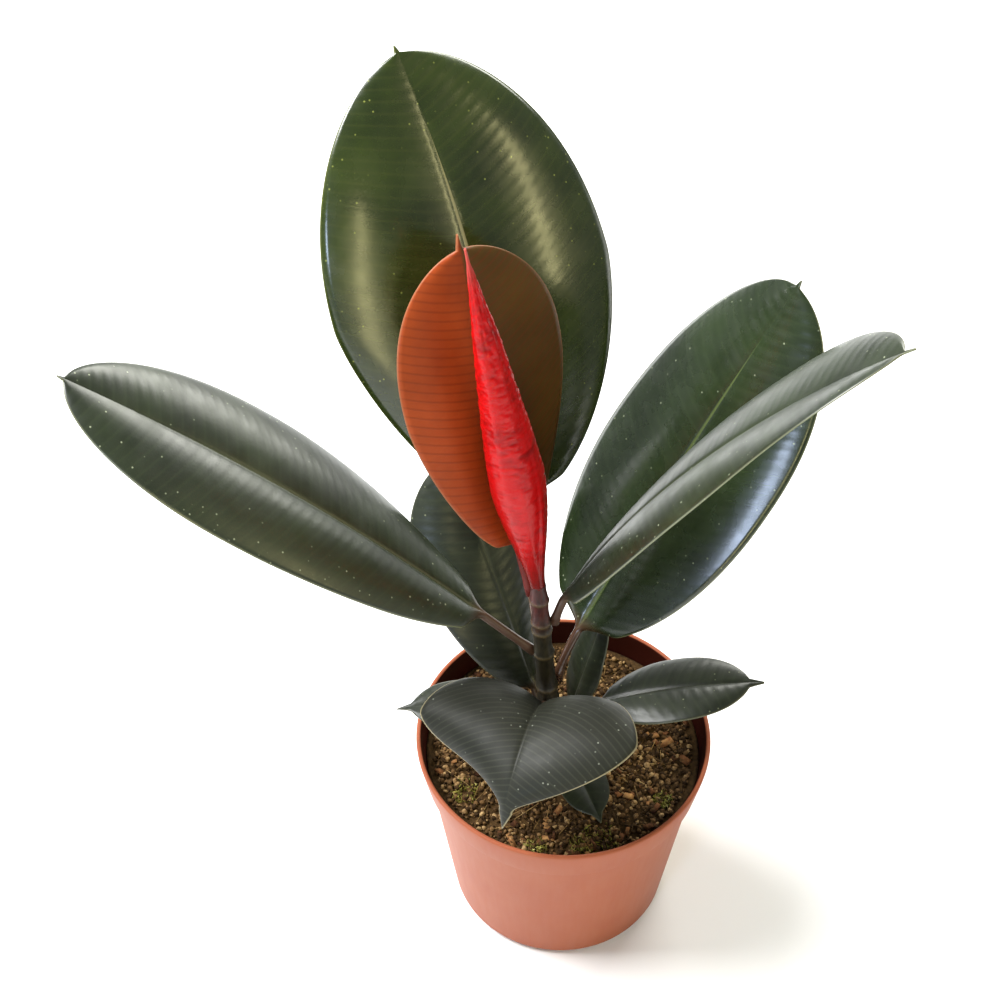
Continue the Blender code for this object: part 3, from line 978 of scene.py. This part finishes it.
@dataclass
class Leaf:
    """One leaf: a thin folded blade with its midrib and petiole.

    Heading turns counter-clockwise from +X. Rise is the climb at the stem, where the blade starts
    and at its tip. Fold lifts each half at the midrib, and curl bends it down again outwards.
    """

    node: str
    above_soil: float
    heading: float
    petiole: float
    length: float
    width: float
    rise: tuple[float, float, float]
    swing: float = 0.0
    roll: tuple[float, float] = (0.0, 0.0)
    fold: tuple[float, float] = (14.0, 14.0)
    curl: float = 30.0
    widest: float = 0.48
    base_power: float = 2.0
    tip_power: float = 2.0
    tip_taper: float = 1 / 1.7
    bend: float = 1.0
    drip_length: float = 6.0 * MM
    drip_width: float = 4.0 * MM
    age: LeafAge = LeafAge.MATURE
    ruffle: float = 1.2 * MM
    quilt: float = 0.08 * MM
    thickness: float = 0.8 * MM
    petiole_radius: float = 1.7 * MM
    midrib_end_radius: float = 0.5 * MM
    midrib_ends_at: float = 0.84
    vein_spacing: float = 4.6 * MM
    row_step: float = 0.95 * MM
    half_columns: int = 22

    def frame(self, share: float) -> tuple[Vector, Vector, Vector]:
        """Returns the tangent, the left side and the upper normal.

        Args:
            share: -1 to 0 up the petiole, and 0 to 1 up the blade.
        """
        if share < 0:
            rise = lerp(self.rise[0], self.rise[1], share + 1)
            heading, roll = self.heading, self.roll[0]
        else:
            rise = lerp(self.rise[1], self.rise[2], share**self.bend)
            heading = self.heading + self.swing * share
            roll = lerp(*self.roll, share)
        tangent = direction(heading, rise)
        side = direction(heading + 90, 0)
        normal = tangent.cross(side)
        turn = math.radians(roll)
        return (
            tangent,
            side * math.cos(turn) + normal * math.sin(turn),
            normal * math.cos(turn) - side * math.sin(turn),
        )

    def midrib(self, stem: Stem, shares: Sequence[float]) -> list[Vector]:
        """Walks up the leaf.

        Args:
            stem: The stem that it grows from.
            shares: Rising places on it, from -1 at the stem to 1 at the tip.

        Returns:
            The midrib's point at each of them.
        """
        node_height = stem.foot.z + self.above_soil
        reach = stem.radius_at(node_height) + stem.swell + 0.3 * MM
        reach += self.petiole_radius * math.sin(math.radians(self.rise[0]))
        point = stem.point(node_height) + direction(self.heading, 0) * reach
        walked, found = -1.0, []
        for share in shares:
            steps = max(1, math.ceil((share - walked) * 60))
            step = (share - walked) / steps
            for index in range(steps):
                middle = walked + step * (index + 0.5)
                span = self.petiole if middle < 0 else self.length
                point = point + self.frame(middle)[0] * (span * step)
            walked = share
            found.append(point.copy())
        return found

    def half_width(self, share: float) -> float:
        """The blade's half-width, share of the way from its base to its tip."""
        body = 1 - self.drip_length / self.length
        middle = self.widest * body
        width = 0.0
        if share < middle:
            width = (1 - ((middle - share) / middle) ** self.base_power) ** (1 / 1.7)
        elif share < body:
            width = (1 - ((share - middle) / (body - middle)) ** self.tip_power) ** self.tip_taper
        drip_start = body - 0.07
        drip = 0.0
        if share > drip_start:
            started = min(1.0, (share - drip_start) / (body - drip_start))
            drip = 0.8 * self.drip_width * started * (1 - share) / (1 - drip_start)
        return math.hypot(width * self.width / 2, drip) + 0.25 * MM

    def build(self, stem: Stem, material: bpy.types.Material, seed: float) -> None:
        """Builds the leaf from its cross-sections.

        Args:
            stem: The stem that it grows from.
            material: Its finish.
            seed: Sets its ruffles apart from other leaves'.
        """
        petiole_rows = max(6, round(self.petiole / (2 * MM)))
        blade_rows = round(self.length / self.row_step)
        shares = [-1 + row / petiole_rows for row in range(petiole_rows)]
        for row in range(blade_rows + 1):
            even = row / blade_rows
            shares.append(lerp(even, 0.5 - 0.5 * math.cos(math.pi * even), 0.45))
        points = self.midrib(stem, shares)
        points[0] = points[0] - self.frame(-1)[0] * (2.5 * MM)
        rings, marks = [], {name: [] for name in LEAF_MARKS}
        for share, point in zip(shares, points):
            _, side, normal = self.frame(share)
            section = self._section(share, seed)
            rings.append([point + side * out + normal * up for out, up, _ in section])
            for name in LEAF_MARKS:
                marks[name].append([values[name] for _, _, values in section])
        name = self.node.replace("leaf_", "blade_")
        finish_object(name, sleeve(rings, marks), material, [self.node])

    def _section(self, share: float, seed: float) -> list[tuple[float, float, dict[str, float]]]:
        """The closed outline of one cross-section: over the top from the left, then back below.

        Args:
            share: Where it lies, from -1 at the stem to 1 at the tip.
            seed: Sets the ruffles.

        Returns:
            For each point, how far out to the left and how high it is, and its marks.
        """
        count = self.half_columns
        half = [(step / count) ** 1.35 for step in range(1, count + 1)]
        sides = half[::-1] + [0.0] + [-value for value in half]
        is_blade = smooth(max(0.0, share) / 0.06)
        foot = 1 + 0.25 * smooth((-0.75 - share) / 0.25)
        ring = []
        for upper, row in ((True, sides), (False, sides[::-1])):
            for index, side in enumerate(row):
                half_turn = math.pi * (index + 0.5) / len(row)
                turn = half_turn if upper else half_turn + math.pi
                stalk = Vector((math.cos(turn), math.sin(turn))) * self.petiole_radius * foot
                blade, marks = self._blade_point(max(0.0, share), side, upper, seed)
                spot = stalk.lerp(blade, is_blade)
                marks["stalk"] = 1 - is_blade
                ring.append((spot.x, spot.y, marks))
        return ring

    def _blade_point(
        self, share: float, side: float, upper: bool, seed: float
    ) -> tuple[Vector, dict[str, float]]:
        """A point on the blade's skin.

        Args:
            share: How far up the blade.
            side: 1 at the left margin, 0 at the midrib and -1 at the right margin.
            upper: Whether it is on the upper face.
            seed: Sets the ruffles.

        Returns:
            The point as (out, up), and its marks.
        """
        width = self.half_width(share)
        fold = math.radians(lerp(*self.fold, share))
        curl = math.radians(self.curl)
        end = fold - curl * abs(side)
        out = math.copysign(width * (math.sin(fold) - math.sin(end)) / curl, side)
        up = width * (math.cos(end) - math.cos(fold)) / curl
        across, along = side * width, share * self.length
        far = abs(across)
        vein = (along - 0.32 * far - 0.3 * far * far / self.width) / self.vein_spacing
        open_blade = smooth(far / (3 * MM)) * smooth((width - far) / (4 * MM))
        ruffle = noise.noise(Vector((share * 3.1, side * 0.8, seed))) * side * side
        up += self.ruffle * ruffle * smooth(share * 4)
        up += self.quilt * open_blade * (0.5 - 0.5 * math.cos(2 * math.pi * vein))
        rib = 0.0
        if share < self.midrib_ends_at:
            rib = lerp(self.petiole_radius, self.midrib_end_radius, share / self.midrib_ends_at)
        half_thick = self.thickness / 2 * (1 - 0.55 * side**6)
        if upper:
            up += half_thick - 0.25 * rib * math.exp(-((across / (0.75 * MM)) ** 2))
        else:
            up -= half_thick + 1.4 * rib * math.exp(-((across / (rib + 0.3 * MM)) ** 2))
        shown_rib = 0.9 * rib * (1 - smooth((share - 0.65) / 0.22))
        return Vector((out, up)), {
            "across": across, "edge": width - far, "upper": float(upper), "vein": vein,
            "rib": max(0.01 * MM, shown_rib)
        }


@dataclass
class Foliage:
    """All the leaves, from the youngest at the top to the small ones over the soil."""

    stem: Stem
    leaves: list[Leaf]

    def build(self) -> None:
        """Builds each leaf in the finish of its age."""
        materials = {age: finish.material() for age, finish in LEAF_FINISHES.items()}
        for index, leaf in enumerate(self.leaves):
            leaf.build(self.stem, materials[leaf.age], 3.7 * index)


LEAVES = [
    Leaf("leaf_back_large", 76 * MM, 110, 46 * MM, 182 * MM, 110 * MM, (56, 72, 46), swing=16,
         roll=(-10, -4), fold=(8, 8), curl=32, widest=0.5, base_power=1.45, tip_power=2.2,
         drip_length=3 * MM, drip_width=6 * MM),
    Leaf("leaf_young_copper", 94 * MM, 130, 20 * MM, 134 * MM, 71 * MM, (66, 74, 75), swing=-6,
         roll=(10, -4), fold=(16, 8), curl=22, widest=0.57, base_power=1.5, tip_power=2.4,
         age=LeafAge.COPPER, quilt=0.16 * MM, vein_spacing=3.6 * MM),
    Leaf("leaf_left_long", 62 * MM, 174, 24 * MM, 192 * MM, 67 * MM, (44, 45, 31), swing=2,
         roll=(5, -8), fold=(18, 16), curl=46, widest=0.54, base_power=1.7, tip_power=2.3,
         drip_length=3 * MM, drip_width=6 * MM, age=LeafAge.OLDER),
    Leaf("leaf_right_edge_on", 81 * MM, 4, 10 * MM, 192 * MM, 61 * MM, (78, 73, 44), swing=-28,
         roll=(-18, -8), fold=(0, 28), curl=38, widest=0.6, base_power=1.5, tip_power=3.0,
         bend=0.5, drip_length=5 * MM, age=LeafAge.OLDER),
    Leaf("leaf_right_broad", 41 * MM, 39, 22 * MM, 168 * MM, 82 * MM, (76, 54, 56), swing=-10,
         roll=(3, 6), fold=(20, 0), curl=36, widest=0.52, base_power=2.1, tip_power=2.4,
         drip_length=3 * MM, drip_width=6 * MM, age=LeafAge.DARK),
    Leaf("leaf_low_right", 23 * MM, -3, 16 * MM, 68 * MM, 34 * MM, (14, 26, 4), roll=(-6, 0),
         fold=(14, 20), curl=40, age=LeafAge.SHADED, quilt=0.15 * MM),
    Leaf("leaf_low_back_left", 18 * MM, 126, 8 * MM, 110 * MM, 57 * MM, (62, 62, 45),
         roll=(20, -28), fold=(4, 7), curl=41, widest=0.6, base_power=1.7, tip_power=2.3,
         age=LeafAge.SHADED, quilt=0.18 * MM),
    Leaf("leaf_low_left", 15.5 * MM, 182, 12 * MM, 47 * MM, 26 * MM, (30, 25, -14),
         age=LeafAge.SHADED),
    Leaf("leaf_low_front", 33 * MM, 258, 7 * MM, 77 * MM, 88 * MM, (50, 58, -88), swing=-10,
         roll=(-2, 18), fold=(40, -6), curl=38, widest=0.49, bend=1.25, base_power=1.45,
         tip_power=1.45, tip_taper=1.2, drip_length=8 * MM, drip_width=6 * MM,
         age=LeafAge.FIRST, vein_spacing=2.6 * MM),
    Leaf("leaf_low_back_right", 10 * MM, 38, 8 * MM, 58 * MM, 20 * MM, (41, 71, 72),
         roll=(-10, -8), widest=0.45, age=LeafAge.SHADED),
    Leaf("leaf_low_front_small", 13 * MM, -68, 15 * MM, 32 * MM, 20 * MM, (14, 4, -15),
         drip_length=4 * MM, age=LeafAge.SHADED),
]


# Studio


@dataclass(frozen=True)
class SoftBox:
    """A long soft light that reaches from one end point to the other and faces a target."""

    name: str
    start: tuple[float, float, float]
    end: tuple[float, float, float]
    width: float
    power: float
    colour: str
    target: tuple[float, float, float] = (0.0, 0.0, 0.2)

    def hang(self) -> None:
        """Adds the light, its long side along the line between its ends."""
        start, end = Vector(self.start), Vector(self.end)
        along = (end - start).normalized()
        middle = (start + end) / 2
        behind = middle - Vector(self.target)
        behind = (behind - along * behind.dot(along)).normalized()
        light = bpy.data.lights.new(self.name, "AREA")
        light.shape = "RECTANGLE"
        light.size, light.size_y = self.width, (end - start).length
        light.energy = self.power
        light.color = linear(self.colour)[:3]
        holder = bpy.data.objects.new(self.name, light)
        turn = Matrix((along.cross(behind), along, behind)).transposed()
        holder.matrix_world = Matrix.Translation(middle) @ turn.to_4x4()
        bpy.context.scene.collection.objects.link(holder)


SOFT_BOXES = (
    SoftBox("key", (-1.25, -0.35, 1.75), (-1.05, 1.15, 1.75), 0.9, 112, "#ffffff"),
    SoftBox("back", (1.05, 1.1, 0.85), (-0.1, 1.6, 0.85), 0.6, 26, "#fbfbf2"),
    SoftBox("window_front", (-0.72, -1.27, 0.52), (-0.70, -1.30, 0.92), 0.26, 7, "#cfe0ff"),
    SoftBox("strip_left", (-0.20, -1.44, 0.10), (0.24, -1.42, 1.15), 0.12, 5, "#f8eeae"),
    SoftBox("strip_right", (1.13, -0.88, 0.61), (1.45, -0.23, 1.38), 0.12, 5.5, "#f8eeae"),
)


@dataclass
class Studio:
    """The pale floor, the soft lights and the camera."""

    camera_place: tuple[float, float, float] = (-0.026, -0.5, 0.785)
    camera_pitch: float = 42.5
    lens: float = 74.0
    sky: str = "#f2f5fa"
    sky_strength: float = 0.28
    board: float = 12.0
    soft_boxes: tuple[SoftBox, ...] = SOFT_BOXES

    def build(self) -> None:
        """Builds the floor, world, lights and camera."""
        self._floor()
        world = bpy.data.worlds.new("soft_room")
        world.use_nodes = True
        light = {"Color": linear(self.sky), "Strength": self.sky_strength}
        feed(world.node_tree, world.node_tree.nodes["Background"], light)
        bpy.context.scene.world = world
        bpy.context.scene.view_settings.view_transform = "Standard"
        for box in self.soft_boxes:
            box.hang()
        camera = bpy.data.cameras.new("camera")
        camera.lens = self.lens
        holder = bpy.data.objects.new("camera", camera)
        holder.location = self.camera_place
        holder.rotation_euler = (math.radians(self.camera_pitch), 0.0, 0.0)
        bpy.context.scene.collection.objects.link(holder)
        bpy.context.scene.camera = holder

    def _floor(self) -> None:
        """Lays the board, a little larger than any view needs."""
        bm = bmesh.new()
        bmesh.ops.create_grid(bm, x_segments=1, y_segments=1, size=self.board / 2)
        floor = as_object("floor", bm)
        floor.data.materials.append(FloorFinish().material())


def main() -> None:
    """Builds the plant from the pot up, then the studio."""
    logging.basicConfig(level=logging.INFO, format="%(message)s")
    pot = Pot()
    stem = Stem(pot, leaves_above_soil=tuple(leaf.above_soil for leaf in LEAVES))
    for part in (pot, SoilBed(pot), stem, BudSheath(stem), Foliage(stem, LEAVES), Studio()):
        LOG.info("building %s", type(part).__name__)
        part.build()


if __name__ == "__main__":
    main()
